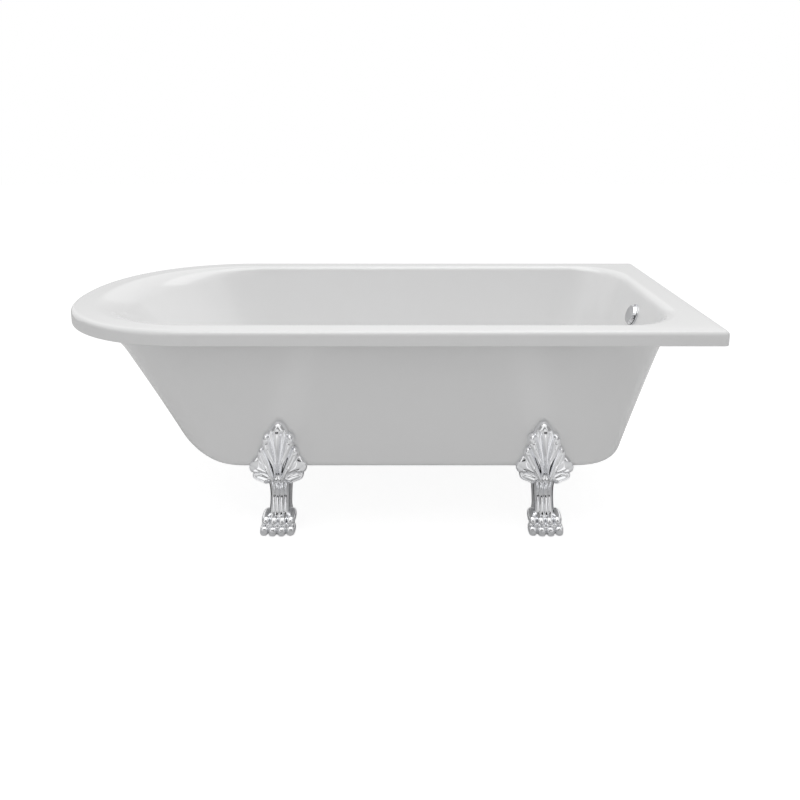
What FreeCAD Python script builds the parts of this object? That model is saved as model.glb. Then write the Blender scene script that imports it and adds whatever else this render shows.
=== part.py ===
import FreeCAD, Part
import math
import os
from collections import namedtuple

from FreeCAD import Matrix, Placement, Rotation, Vector

# Freestanding bath with one round end and one square end, on four claw feet.
# Millimetres.  +X points to the square (tap) end, +Y to the wall side, +Z up.
# The origin is on the floor, under the middle of the rim.

# ---------------------------------------------------------------- whole bath
tub_length = 1700.0
tub_width = 750.0
tub_height = 590.0

# ----------------------------------------------------------------------- rim
rim_head_length = 415.0        # how far the round end reaches along the bath
rim_head_power = 2.17          # 2 is an ellipse, more is squarer
rim_corner_radius = 14.0       # the two square corners, seen from above
rim_edge_radius = 12.0         # rounding of the rim's top outer edge
rim_thickness = 8.0
lip_drop = 37.0                # the rim turns down this far
lip_thickness = 7.0

# --------------------------------------------------------------------- basin
# ledge: flat part of the rim.  lip_radius: roll from the ledge into the wall.
# slope: the wall's lean from upright.  base_radius: roll from wall to floor.
Wall = namedtuple("Wall", "ledge lip_radius slope base_radius")
head_wall = Wall(ledge=55.0, lip_radius=100.0, slope=35.0, base_radius=120.0)
side_wall = Wall(ledge=48.0, lip_radius=15.0, slope=8.0, base_radius=80.0)
tap_wall = Wall(ledge=64.0, lip_radius=28.0, slope=19.0, base_radius=90.0)
basin_depth = 350.0
basin_head_top = 360.0         # length of the round end at the rim
basin_head_base = 170.0        # and at the basin's floor
basin_head_power = 2.2
basin_corner_top = 150.0       # radius of the tap-end corners at the rim
basin_corner_base = 150.0      # and at the floor
shell_thickness = 6.0

# ---------------------------------------------------------------- outer skin
# inset: distance in from the rim's edge, at the bottom of the lip.
# flare: how far the top curves back out to meet the rim.
Flank = namedtuple("Flank", "inset slope base_radius flare")
head_flank = Flank(inset=117.0, slope=33.1, base_radius=180.0, flare=45.0)
side_flank = Flank(inset=30.0, slope=7.1, base_radius=26.0, flare=0.0)
tap_flank = Flank(inset=50.0, slope=20.0, base_radius=34.0, flare=0.0)
flare_height = 84.0
skin_depth = 391.0             # rim top to the underside of the bath
skin_thickness = 5.0
skin_head_top = 265.0
skin_head_base = 100.0
skin_head_power = 2.3
skin_tap_top = 5.0             # the tap end's curve is shorter than half the width
skin_tap_base = 206.0          # by this much, at the rim and at the base
skin_tap_corner = 82.2         # how much its corners cut off the sides, at the rim
square_length = 80.0           # the tap end is this much squarer at the rim
square_height = 130.0          # and takes its own curve from here down
bead_width = 6.0               # bonding compound under the rim
bead_height = 8.0

# ------------------------------------------------------- boards in the base
# The margins are measured in from the flat of the skin's base.
board_thickness = 18.0
board_head_setback = 430.0     # from the end of the rim
board_tap_setback = 275.0
board_margin = 37.0
board_corner_radius = 60.0
bearer_margin = 15.0
bearer_width = 90.0
notch_width = 100.0            # room in the board for the waste and its hose

# --------------------------------------------------------------------- feet
head_feet_setback = 600.5      # from the end of the rim to the feet
tap_feet_setback = 413.5
foot_margin = 27.0             # in from the flat of the base to the paw's bore
foot_splay = 0.07              # sideways lean of a leg, mm per mm of height
paw_width = 94.0
paw_height = 57.0
toe_count = 4
outer_toe_setback = 3.0        # the outer toes stand this much further back
# The paw is made of balls.  rise and half_height: shares of the paw's height.
# forward: the ball's centre in front of the paw's bore.
Ball = namedtuple("Ball", "width half_length rise half_height forward")
heel = Ball(width=86.0, half_length=40.0, rise=0.33, half_height=0.6, forward=-8.0)
knuckle = Ball(width=25.0, half_length=24.0, rise=0.7, half_height=0.3, forward=20.0)
claw = Ball(width=23.0, half_length=15.0, rise=0.23, half_height=0.3, forward=32.0)
ankle_width = 57.0
# rise: share of the way from the paw's top to the base.  extra: added to the
# ankle's width.  front and back: distance in front of the paw's bore.
Slice = namedtuple("Slice", "rise extra front back flute")
leg_slices = (Slice(rise=-0.21, extra=12, front=34, back=-38, flute=1),
              Slice(rise=0.06, extra=1, front=23, back=-32, flute=3),
              Slice(rise=0.32, extra=-2, front=21, back=-28, flute=4),
              Slice(rise=0.57, extra=0, front=25, back=-26, flute=4),
              Slice(rise=0.76, extra=8, front=36, back=-24, flute=3),
              Slice(rise=0.94, extra=22, front=56, back=-22, flute=2),
              Slice(rise=1.15, extra=24, front=72, back=-10, flute=1))
# Sideways place and height above the base, of the tip and of the root.
# proud: how far a leaf's middle stands out from the bath's side.
Leaf = namedtuple("Leaf", "tip_side tip_rise root_side root_rise half_width proud")
crown_leaf = Leaf(0, 143, 0, 5, half_width=27, proud=24)
side_leaves = (Leaf(33, 110, 5, -20, half_width=18, proud=20),
               Leaf(48, 74, 8, -35, half_width=18, proud=17),
               Leaf(69, 27, 6, -42, half_width=24, proud=14))
leaf_edge = 6.0                # thickness of a leaf's edge
leaf_sink = 20.0               # its back, before it is cut to the bath's side
tongue_front = 54.0            # the fixing tongue, in front of its studs
tongue_back = 24.0
tongue_width = 78.0
tongue_thickness = 12.0
stud_spacing = 44.0
stud_margin = 91.0             # in from the flat of the base to the studs
stud_radius = 4.0
washer_radius = 10.0
washer_thickness = 2.0
nut_across_flats = 13.0
nut_height = 6.5
stud_end = 3.0                 # stud left showing under its nut

levelling_travel = 12.0
level_screw_radius = 5.0
level_screw_grip = 30.0        # thread still in the foot at full travel
level_pad_radius = 17.0
level_pad_height = 8.0

# ---------------------------------------------------------- waste and plug
waste_setback = 315.0          # from the square end of the rim
waste_hole_radius = 26.0
flange_radius = 35.0
flange_thickness = 3.0
neck_bore = 21.0
neck_wall = 4.5
hub_wall = 4.0                 # round the plug's stem
hub_length = 8.0
spoke_count = 3
spoke_width = 3.0
spoke_height = 5.0
waste_seal = 1.5
body_seal = 2.0
chamber_radius = 30.0
chamber_wall = 4.0
chamber_depth = 50.0
tail_radius = 23.9             # outside of a 1 1/2 inch pipe thread
tail_length = 40.0
tail_bore = 20.0
plug_radius = 29.0
plug_thickness = 5.0
boss_depth = 5.0               # boss under the plug that carries its seal
boss_gap = 5.0                 # from the boss to the neck's bore
plug_seal_thickness = 3.0
plug_travel = 11.0
stem_radius = 3.0
stem_length = 44.0
stem_entry = 1.0               # how far the stem goes up into the plug's cap
arm_width = 8.0
arm_thickness = 4.0
arm_back = 8.0
arm_front = 16.0

# ------------------------------------------------------ overflow and its knob
overflow_depth = 74.0          # below the rim's top
overflow_hole_radius = 26.0
bezel_radius = 33.0
bezel_thickness = 4.0
drain_hole_radius = 4.5
drain_hole_circle = 16.0
knob_radius = 30.5
knob_face_radius = 25.5
knob_thickness = 8.0
knob_wall = 4.0
knob_edge_radius = 1.5
dish_radius = 20.0             # the hollow in the knob's face
dish_depth = 1.0
knob_notches = 4
notch_radius = 5.0
notch_circle = 29.0            # where the centres of the finger notches lie
knob_turn = 110.0              # degrees, from plug shut to plug open
spindle_radius = 4.0
spindle_hub_wall = 3.0
housing_radius = 30.0
housing_depth = 26.0
housing_wall = 3.0
drum_width = 5.0
overflow_screw_radius = 2.0
overflow_screw_circle = 18.5
overflow_screw_length = 18.0
screw_head_height = 2.2
screw_head_sink = 2.5
screw_boss_wall = 3.0
hose_radius = 12.5
hose_wall = 2.0
hose_offset = 14.5             # hose centre to the basin's outside face
hose_grip = 11.0               # how far a spigot goes into the hose
spigot_wall = 1.5
hose_nut_radius = 14.0
hose_nut_length = 10.0
cable_radius = 2.5
cable_side = 21.0              # cable beside the hose
gland_wall = 3.0
gland_length = 6.0

# ---------------------------------------------------------------- clearances
seat_gap = 0.3                 # between a casting and what it leans on
shaft_gap = 0.05               # round a shaft in its bore
bolt_gap = 0.5                 # round a bolt in a drilled hole
turn_gap = 1.5                 # between the knob and its bezel; the water's way in
over = 5.0                     # how far a cutting tool runs past a face
curve_points = 13

half_length = tub_length / 2
half_width = tub_width / 2
floor_z = tub_height - basin_depth
shell_z = floor_z - shell_thickness
base_z = tub_height - skin_depth
skin_floor_z = base_z + skin_thickness
board_z = shell_z - board_thickness
bearer_thickness = board_z - skin_floor_z
head_feet_x = head_feet_setback - half_length
tap_feet_x = half_length - tap_feet_setback
waste_x = half_length - waste_setback
level_screw_length = level_screw_grip + levelling_travel
drum_radius = plug_travel / math.radians(knob_turn)


# ------------------------------------------------------------------ helpers
def save(name, *solids):
    """Write one node: a single solid, or a group of like solids."""
    shape = solids[0] if len(solids) == 1 else Part.makeCompound(list(solids))
    shape.exportStep("parts/" + name + ".step")


def blend(start, end, share):
    return start + (end - start) * share


def cylinder(radius, height, base=Vector(), axis=Vector(0, 0, 1)):
    return Part.makeCylinder(radius, height, base, axis)


def ring(outer, inner, height, base=Vector(), axis=Vector(0, 0, 1)):
    return cylinder(outer, height, base, axis).cut(cylinder(inner, height, base, axis))


def block(low, high):
    """A box between two opposite corners."""
    size = high - low
    return Part.makeBox(size.x, size.y, size.z, low)


def ellipsoid(centre, half_x, half_y, half_z):
    """A ball stretched along three axes."""
    stretch = Matrix()
    stretch.scale(half_x, half_y, half_z)
    ball = Part.makeSphere(1.0).transformGeometry(stretch)
    ball.translate(centre)
    return ball


def hexagon(across_flats, height, centre):
    corner = across_flats / math.sqrt(3)
    turns = [math.radians(60 * k) for k in range(7)]
    points = [centre + Vector(corner * math.cos(t), corner * math.sin(t), 0) for t in turns]
    return Part.Face(Part.makePolygon(points)).extrude(Vector(0, 0, height))


def end_curve(x, z, reach, half, power, sign):
    """Half a superellipse round one end of the bath, anticlockwise seen from above.

    It runs from (x, -sign*half) round (x + sign*reach, 0) to (x, sign*half).
    """
    points = []
    for k in range(curve_points):
        angle = math.pi * (k / (curve_points - 1) - 0.5)
        along = max(0.0, math.cos(angle)) ** (2 / power)
        across = math.copysign(abs(math.sin(angle)) ** (2 / power), math.sin(angle))
        points.append(Vector(x + sign * reach * along, sign * half * across, z))
    points[0] = Vector(x, -sign * half, z)
    points[-1] = Vector(x, sign * half, z)
    lead = Vector(sign * (points[1] - points[0]).Length, 0, 0)
    curve = Part.BSplineCurve()
    curve.interpolate(Points=points,
                      Parameters=[float(k) for k in range(curve_points)],
                      InitialTangent=lead, FinalTangent=-lead, Scale=False)
    return curve.toShape()


def line(start, end):
    return Part.LineSegment(start, end).toShape()


def corner_arc(centre, radius, start_degrees):
    """A quarter circle, turning anticlockwise seen from above."""
    ends = [math.radians(start_degrees + turn) for turn in (0, 45, 90)]
    points = [centre + Vector(radius * math.cos(a), radius * math.sin(a), 0) for a in ends]
    return Part.Arc(*points).toShape()


def square_ended(head_x, reach, power, tap_x, corner, half, z):
    """Outline with a round head end and a square tap end with round corners."""
    start = head_x + reach
    near = tap_x - corner
    side = half - corner
    return Part.Wire([
        end_curve(start, z, reach, half, power, -1),
        line(Vector(start, -half, z), Vector(near, -half, z)),
        corner_arc(Vector(near, -side, z), corner, -90),
        line(Vector(tap_x, -side, z), Vector(tap_x, side, z)),
        corner_arc(Vector(near, side, z), corner, 0),
        line(Vector(near, half, z), Vector(start, half, z)),
    ])


def round_ended(head_x, head_reach, head_power, tap_x, tap_reach, tap_power, half, z):
    """Outline that is round at both ends."""
    start = head_x + head_reach
    end = tap_x - tap_reach
    return Part.Wire([
        end_curve(start, z, head_reach, half, head_power, -1),
        line(Vector(start, -half, z), Vector(end, -half, z)),
        end_curve(end, z, tap_reach, half, tap_power, 1),
        line(Vector(end, half, z), Vector(start, half, z)),
    ])


def through(wires):
    """A solid with straight walls from each outline to the next."""
    return Part.makeLoft(wires, True, True)


# -------------------------------------------------------- basin with its rim
def wall_inset(wall, depth, total, grow=0.0):
    """How far in a wall is, this deep below its top.

    An arc rolls down from the ledge, a straight wall leans in, and a second arc
    rolls out to the floor.  grow is the shell's thickness, for its outside.
    """
    lip = wall.lip_radius - grow
    base = wall.base_radius + grow
    lean = math.radians(wall.slope)
    lip_end = lip * (1 - math.sin(lean))
    if depth < lip_end:
        return wall.ledge + math.sqrt(lip ** 2 - (lip - depth) ** 2)
    at_lip = wall.ledge + lip * math.cos(lean)
    tangent = base * math.tan(math.pi / 4 - lean / 2)
    if depth < total - tangent * math.cos(lean):
        return at_lip + (depth - lip_end) * math.tan(lean)
    corner = at_lip + (total - lip_end) * math.tan(lean)
    rise = total - depth
    return corner + tangent - math.sqrt(base ** 2 - (base - rise) ** 2)


def basin_outline(depth, grow=0.0, lift=0.0):
    """The basin's outline at a depth; grow moves it out to the shell's outside."""
    share = depth / basin_depth
    head = half_length - wall_inset(head_wall, depth, basin_depth)
    start = -head + blend(basin_head_top, basin_head_base, share)
    head_x = -half_length + wall_inset(head_wall, depth, basin_depth, grow)
    tap_x = half_length - wall_inset(tap_wall, depth, basin_depth, grow)
    half = half_width - wall_inset(side_wall, depth, basin_depth, grow)
    corner = blend(basin_corner_top, basin_corner_base, share) + grow
    z = tub_height - depth - grow + lift
    return square_ended(head_x, start - head_x, basin_head_power, tap_x, corner, half, z)


def basin_levels():
    """Depths to cut the basin at: close together where its walls curve."""
    lean = math.radians(head_wall.slope)
    roll = head_wall.lip_radius * (1 - math.sin(lean))
    reach = max(w.base_radius * (1 - math.sin(math.radians(w.slope)))
                for w in (head_wall, side_wall, tap_wall))
    top = [roll * (1 - math.cos(math.pi / 2 * k / 6)) for k in range(7)]
    base = [basin_depth - reach * (1 - math.sin(math.pi / 2 * k / 7)) for k in range(8)]
    middle = [blend(top[-1], base[0], k / 3) for k in (1, 2)]
    return top + middle + base


def rim_outline(inset, z):
    return square_ended(-half_length + inset, rim_head_length - inset, rim_head_power,
                        half_length - inset, rim_corner_radius - inset,
                        half_width - inset, z)


def rim_slab():
    """The rim as a solid slab with its top edge rounded."""
    edge = rim_edge_radius
    wires = [rim_outline(0.0, tub_height - lip_drop)]
    for k in range(6):
        angle = math.pi / 2 * k / 5
        wires.append(rim_outline(edge * (1 - math.cos(angle)),
                                 tub_height - edge * (1 - math.sin(angle))))
    return through(wires)


def rim_hollow():
    """The space inside the turned-down lip."""
    low = tub_height - lip_drop - over
    high = tub_height - rim_thickness
    return through([rim_outline(lip_thickness, low), rim_outline(lip_thickness, high)])


wall_lean = math.radians(tap_wall.slope)
wall_normal = Vector(-math.cos(wall_lean), 0, math.sin(wall_lean))
overflow_centre = Vector(half_length - wall_inset(tap_wall, overflow_depth, basin_depth),
                         0, tub_height - overflow_depth)
waste_centre = Vector(waste_x, 0, floor_z)


def on_wall(shape):
    """Move a shape, made along +Z, on to the tap-end wall.  Local -X points down it."""
    shape.Placement = Placement(overflow_centre, Rotation(Vector(0, 1, 0), tap_wall.slope - 90))
    return shape


def make_inner_tub():
    levels = basin_levels()
    space = through([basin_outline(0.0, lift=over)] + [basin_outline(d) for d in levels])
    shell = through([basin_outline(d, shell_thickness) for d in levels])
    tub = rim_slab().cut(rim_hollow()).fuse(shell).cut(space)
    waste_hole = cylinder(waste_hole_radius, shell_thickness + 2 * over,
                          waste_centre - Vector(0, 0, shell_thickness + over))
    overflow_hole = on_wall(cylinder(overflow_hole_radius, shell_thickness + 2 * over,
                                     Vector(0, 0, -shell_thickness - over)))
    return tub.cut(waste_hole).cut(overflow_hole)


# --------------------------------------------------------------- outer skin
def flank_inset(flank, depth, inward=0.0):
    """How far in the skin is at a depth; inward moves it to the skin's inside."""
    lean = math.radians(flank.slope)
    base = flank.base_radius - inward
    total = skin_depth - inward
    top = flank.inset + (depth - lip_drop) * math.tan(lean) + inward / math.cos(lean)
    share = min(1.0, (depth - rim_thickness) / flare_height)
    top -= flank.flare * (1 - share) ** 2
    tangent = base * math.tan(math.pi / 4 - lean / 2)
    if depth < total - tangent * math.cos(lean):
        return top
    corner = flank.inset + (total - lip_drop) * math.tan(lean) + inward / math.cos(lean)
    rise = total - depth
    return corner + tangent - math.sqrt(base ** 2 - (base - rise) ** 2)


def skin_outline(depth, inward=0.0, lift=0.0):
    share = (depth - lip_drop) / (skin_depth - lip_drop)
    square = square_length * max(0.0, 1 - (depth - rim_thickness) / square_height) ** 2
    head_x = -half_length + flank_inset(head_flank, depth, inward)
    tap_x = half_length - flank_inset(tap_flank, depth, inward)
    half = half_width - flank_inset(side_flank, depth, inward)
    tap_reach = half_width - blend(skin_tap_top, skin_tap_base, share) - inward - square
    tap_power = math.log(0.5) / math.log(1 - skin_tap_corner / half_width)
    return round_ended(head_x, blend(skin_head_top, skin_head_base, share) - inward,
                       skin_head_power, tap_x, tap_reach, tap_power, half,
                       tub_height - depth + lift)


def skin_levels(inward=0.0):
    """Depths from under the rim to the base, close together where the skin curves."""
    total = skin_depth - inward
    lean = math.radians(head_flank.slope)
    reach = (head_flank.base_radius - inward) * (1 - math.sin(lean))
    flare_end = rim_thickness + flare_height
    top = [blend(rim_thickness, flare_end, k / 6) for k in range(7)]
    base = [total - reach * (1 - math.sin(math.pi / 2 * k / 9)) for k in range(10)]
    middle = [blend(flare_end, base[0], k / 3) for k in (1, 2)]
    return top + middle + base


def skin_block(inward=0.0, lift=0.0):
    """Everything inside the skin's outer face, or inside its inner face.

    lift carries the top straight up past the skin's top edge.
    """
    wires = [skin_outline(d, inward) for d in skin_levels(inward)]
    if lift:
        wires.insert(0, skin_outline(rim_thickness, inward, lift))
    return through(wires)


base_half = half_width - flank_inset(side_flank, skin_depth)
foot_reach = base_half - foot_margin
stud_reach = base_half - stud_margin


def stud_places():
    """Centres of the eight studs, under the bath."""
    places = []
    for x in (head_feet_x, tap_feet_x):
        for side in (-1, 1):
            for step in (-0.5, 0.5):
                places.append(Vector(x + step * stud_spacing, side * stud_reach, 0))
    return places


def make_outer_skin():
    skin = skin_block().cut(skin_block(skin_thickness, over))
    holes = [cylinder(stud_radius + bolt_gap, skin_thickness + 2 * over,
                      place + Vector(0, 0, base_z - over)) for place in stud_places()]
    holes.append(cylinder(chamber_radius + over, skin_thickness + 2 * over,
                          Vector(waste_x, 0, base_z - over)))
    for hole in holes:
        skin = skin.cut(hole)
    return skin


def make_rim_bond():
    """Bead of bonding compound where the skin's top edge meets the rim.

    The tap-end corners of the basin come close, so the bead is trimmed to them.
    """
    depths = (rim_thickness, rim_thickness + bead_height)
    gap = skin_thickness + seat_gap
    outside = through([skin_outline(d, gap) for d in depths])
    inside = through([skin_outline(d, gap + bead_width) for d in depths])
    near_basin = through([basin_outline(d, shell_thickness + seat_gap) for d in basin_levels()])
    return outside.cut(inside).cut(near_basin)


# -------------------------------------------------------- boards in the base
def pilot_holes(low_z, height):
    return [cylinder(stud_radius + shaft_gap, height, place + Vector(0, 0, low_z))
            for place in stud_places()]


def make_base_board():
    """Board bonded under the basin's floor, cut out round the waste."""
    half = base_half - board_margin
    head_x = board_head_setback - half_length
    tap_x = half_length - board_tap_setback
    board = block(Vector(head_x, -half, board_z), Vector(tap_x, half, shell_z))
    upright = [e for e in board.Edges if abs(e.tangentAt(e.FirstParameter).z) > 0.9]
    board = board.makeFillet(board_corner_radius, upright)
    notch_start = waste_x - notch_width / 2
    notch = block(Vector(notch_start, -notch_width / 2, board_z - over),
                  Vector(tap_x + over, notch_width / 2, shell_z + over))
    board = board.cut(notch)
    for hole in pilot_holes(board_z - over, over + board_thickness / 2):
        board = board.cut(hole)
    return board


def make_bearer(x):
    """Cross piece between the skin's base and the board, over a pair of feet."""
    half = base_half - bearer_margin
    bearer = block(Vector(x - bearer_width / 2, -half, skin_floor_z),
                   Vector(x + bearer_width / 2, half, board_z))
    for hole in pilot_holes(skin_floor_z - over, bearer_thickness + 2 * over):
        bearer = bearer.cut(hole)
    return bearer


# --------------------------------------------------------------------- feet
def foot_centre(z, x, lean):
    """The leg's centre line drifts sideways with height."""
    return x + lean * foot_splay * (z - (base_z + crown_leaf.tip_rise) / 2)


def leg_section(x, lean, cut):
    """A leg's cross-section: flat back, round front with four flutes."""
    z = blend(paw_height, base_z, cut.rise)
    centre = foot_centre(z, x, lean)
    width = ankle_width + cut.extra
    back = -foot_reach - cut.back
    count = 17
    points = []
    for k in range(count):
        angle = math.pi * k / (count - 1)
        ripple = cut.flute * math.sin(4 * angle) ** 2
        reach = (cut.front - cut.back - ripple) * math.sin(angle) ** 0.7
        points.append(Vector(centre - width / 2 * math.cos(angle), back - reach, z))
    curve = Part.BSplineCurve()
    curve.interpolate(Points=points, Parameters=[float(k) for k in range(count)])
    return Part.Wire([curve.toShape(), line(points[-1], points[0])])


def make_leg(x, lean):
    """Fluted leg from inside the paw up to the leaves, in horizontal slices."""
    return Part.makeLoft([leg_section(x, lean, cut) for cut in leg_slices], True, False)


def side_point(x, rise, out):
    """A point this far above the base and this far out from the bath's side."""
    lean = math.radians(side_flank.slope)
    z = base_z + rise
    y = half_width - flank_inset(side_flank, lip_drop) - (skin_depth - rise - lip_drop) * math.tan(lean)
    return Vector(x, -y - out * math.cos(lean), z - out * math.sin(lean))


def make_leaf(x, lean, leaf, side):
    """A round-ended leaf with a domed front, one of the fan against the bath's side."""
    middle_rise = (leaf.tip_rise + leaf.root_rise) / 2
    middle_side = side * (leaf.tip_side + leaf.root_side) / 2
    centre_x = foot_centre(base_z + middle_rise, x, lean) + middle_side
    run = side * (leaf.tip_side - leaf.root_side) / 2
    climb = (leaf.tip_rise - leaf.root_rise) / 2
    reach = math.hypot(run, climb)
    across = (climb / reach, -run / reach)
    layers = [(-leaf_sink, 1.0)] + [
        (blend(leaf_edge, leaf.proud, math.sin(turn)), math.cos(turn)) for turn in (0, 0.5, 1.0)]
    outlines = []
    for out, share in layers:
        centre = side_point(centre_x, middle_rise, out)
        tip = side_point(centre_x + share * run, middle_rise + share * climb, out)
        width = leaf.half_width * share
        right = side_point(centre_x + width * across[0], middle_rise + width * across[1], out)
        outlines.append(Part.Wire(Part.Ellipse(tip, right, centre).toShape()))
    return through(outlines)


def side_prism(x, gap):
    """The bath's side and base near a foot, moved out by a gap: flat, with a round edge."""
    lean = math.radians(side_flank.slope)
    radius = side_flank.base_radius + gap
    centre = Vector(x - tub_height, -base_half, base_z + side_flank.base_radius)
    low = centre - Vector(0, 0, radius)
    turn = (math.pi / 2 + lean) / 2
    middle = centre - Vector(0, radius * math.cos(turn), radius * math.sin(turn))
    high = centre - Vector(0, radius * math.cos(lean), radius * math.sin(lean))
    top = high + Vector(0, -math.tan(lean), 1) * skin_depth
    profile = Part.Wire([line(Vector(low.x, 0, low.z), low),
                         Part.Arc(low, middle, high).toShape(),
                         line(high, top),
                         line(top, Vector(low.x, 0, top.z)),
                         line(Vector(low.x, 0, top.z), Vector(low.x, 0, low.z))])
    return Part.Face(profile).extrude(Vector(2 * tub_height, 0, 0))


def make_paw(x, lean):
    """Four toes, each a knuckle over a claw, in front of a heel."""
    def ball(shape, step=0.0, back=0.0):
        middle = Vector(foot_centre(0.0, x, lean) + step * toe_pitch,
                        -foot_reach - shape.forward + back, paw_height * shape.rise)
        return ellipsoid(middle, shape.width / 2, shape.half_length,
                         paw_height * shape.half_height)

    toe_pitch = (paw_width - claw.width) / (toe_count - 1)
    pieces = [ball(heel)]
    for k in range(toe_count):
        step = k - (toe_count - 1) / 2
        back = outer_toe_setback * (abs(step) - 0.5)
        pieces += [ball(knuckle, step, back), ball(claw, step, back)]
    return pieces


def make_tongue(x):
    half = tongue_width / 2
    return block(Vector(x - half, -stud_reach - tongue_front, base_z - tongue_thickness),
                 Vector(x + half, -stud_reach + tongue_back, base_z))


def make_foot(x, lean):
    """One casting for the front side: paw, leg, leaves and the fixing tongue."""
    foot = make_leg(x, lean)
    for piece in make_paw(x, lean):
        foot = foot.fuse(piece)
    foot = foot.fuse(make_leaf(x, lean, crown_leaf, 0))
    for leaf in side_leaves:
        for side in (-1, 1):
            foot = foot.fuse(make_leaf(x, lean, leaf, side))
    foot = foot.fuse(make_tongue(x)).cut(side_prism(x, seat_gap))
    foot = foot.common(block(Vector(x - tub_height, -tub_width, 0),
                             Vector(x + tub_height, 0, tub_height)))
    for step in (-0.5, 0.5):
        place = Vector(x + step * stud_spacing, -stud_reach, base_z - tongue_thickness - over)
        foot = foot.cut(cylinder(stud_radius + bolt_gap, tongue_thickness + 2 * over, place))
    below = Vector(foot_centre(0.0, x, lean), -foot_reach, -over)
    bore_top = level_pad_height / 2 + level_screw_length + 2 * seat_gap
    foot = foot.cut(cylinder(level_screw_radius + shaft_gap, bore_top + over, below))
    return foot.cut(cylinder(level_pad_radius + bolt_gap,
                             level_pad_height + 2 * seat_gap + over, below))


def at_rear(shape):
    """The same piece on the wall side."""
    return shape.mirror(Vector(), Vector(0, 1, 0))


def make_stud(place):
    low = base_z - tongue_thickness - washer_thickness - nut_height - stud_end
    high = board_z + board_thickness / 2 - bolt_gap
    return cylinder(stud_radius, high - low, place + Vector(0, 0, low))


def make_washer(place):
    z = base_z - tongue_thickness - washer_thickness
    return ring(washer_radius, stud_radius + shaft_gap, washer_thickness,
                place + Vector(0, 0, z))


def make_nut(place):
    z = base_z - tongue_thickness - washer_thickness - nut_height
    nut = hexagon(nut_across_flats, nut_height, place + Vector(0, 0, z))
    return nut.cut(cylinder(stud_radius + shaft_gap, nut_height, place + Vector(0, 0, z)))


def make_levelling(x, lean):
    """Screw and pad in the sole of a front foot; they stop just above the floor."""
    sole = Vector(foot_centre(0.0, x, lean), -foot_reach, seat_gap)
    screw = cylinder(level_screw_radius, level_screw_length,
                     sole + Vector(0, 0, level_pad_height / 2))
    pad = cylinder(level_pad_radius, level_pad_height, sole)
    pad = pad.makeFillet(1.0, [e for e in pad.Edges if len(e.Vertexes) == 1])
    pad = pad.cut(cylinder(level_screw_radius, level_pad_height,
                           sole + Vector(0, 0, level_pad_height / 2)))
    return screw, pad


# ---------------------------------------------------------- waste and plug
neck_length = shell_thickness + body_seal + chamber_wall
plug_seat = waste_centre + Vector(0, 0, waste_seal + flange_thickness + seat_gap)


def make_waste_flange():
    """Dished flange with a threaded neck, and a hub on three spokes for the stem."""
    top = waste_centre + Vector(0, 0, waste_seal)
    neck_foot = waste_centre - Vector(0, 0, neck_length)
    flange = cylinder(flange_radius, flange_thickness, top)
    rim = [e for e in flange.Edges if len(e.Vertexes) == 1 and e.CenterOfMass.z > top.z + 1]
    flange = flange.makeFillet(flange_thickness * 0.6, rim)
    flange = flange.fuse(cylinder(neck_bore + neck_wall, neck_length + waste_seal, neck_foot))
    flange = flange.cut(cylinder(neck_bore, neck_length + 2 * over,
                                 neck_foot - Vector(0, 0, over / 2)))
    hub = cylinder(stem_radius + hub_wall, hub_length, neck_foot)
    for k in range(spoke_count):
        spoke = block(Vector(0, -spoke_width / 2, 0),
                      Vector(neck_bore + neck_wall / 2, spoke_width / 2, spoke_height))
        spoke.rotate(Vector(), Vector(0, 0, 1), 60 + 360 * k / spoke_count)
        spoke.translate(neck_foot)
        hub = hub.fuse(spoke)
    bore = cylinder(stem_radius + shaft_gap, hub_length + 2 * over,
                    neck_foot - Vector(0, 0, over))
    return flange.fuse(hub).cut(bore)


def make_waste_body():
    """Chamber under the floor: hose inlet, cable gland and threaded tail."""
    top = waste_centre - Vector(0, 0, shell_thickness + body_seal)
    bottom = top - Vector(0, 0, chamber_depth)
    toward_tap = Vector(1, 0, 0)
    inlet = Vector(waste_x, 0, shell_z - hose_offset)
    spigot = hose_radius - hose_wall - shaft_gap
    body = cylinder(chamber_radius, chamber_depth, bottom)
    body = body.fuse(cylinder(flange_radius, chamber_wall, top - Vector(0, 0, chamber_wall)))
    body = body.fuse(cylinder(tail_radius, tail_length, bottom - Vector(0, 0, tail_length)))
    body = body.fuse(cylinder(spigot, flange_radius + hose_grip, inlet, toward_tap))
    body = body.fuse(cylinder(cable_radius + gland_wall, chamber_radius + gland_length,
                              inlet + Vector(0, cable_side, 0), toward_tap))
    body = body.cut(cylinder(chamber_radius - chamber_wall, chamber_depth - 2 * chamber_wall,
                             bottom + Vector(0, 0, chamber_wall)))
    body = body.cut(cylinder(neck_bore + neck_wall + shaft_gap, chamber_depth,
                             top - Vector(0, 0, chamber_depth / 2)))
    body = body.cut(cylinder(tail_bore, tail_length + 2 * over + chamber_wall,
                             bottom - Vector(0, 0, tail_length + over)))
    return body.cut(cylinder(spigot - spigot_wall, flange_radius + 2 * hose_grip,
                             inlet, toward_tap))


def make_plug():
    """Cap with a boss under it that carries the seal."""
    cap = cylinder(plug_radius, plug_thickness, plug_seat)
    rim = [e for e in cap.Edges if len(e.Vertexes) == 1 and e.CenterOfMass.z > plug_seat.z + 1]
    cap = cap.makeFillet(plug_thickness * 0.7, rim)
    boss_foot = plug_seat - Vector(0, 0, boss_depth)
    plug = cap.fuse(cylinder(neck_bore - boss_gap, boss_depth, boss_foot))
    return plug.cut(cylinder(stem_radius, boss_depth + stem_entry, boss_foot))


def make_plug_seal():
    return ring(neck_bore - seat_gap, neck_bore - boss_gap, plug_seal_thickness,
                plug_seat - Vector(0, 0, plug_seal_thickness + seat_gap))


def make_plug_stem():
    return cylinder(stem_radius, stem_length,
                    plug_seat - Vector(0, 0, stem_length - stem_entry))


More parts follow.
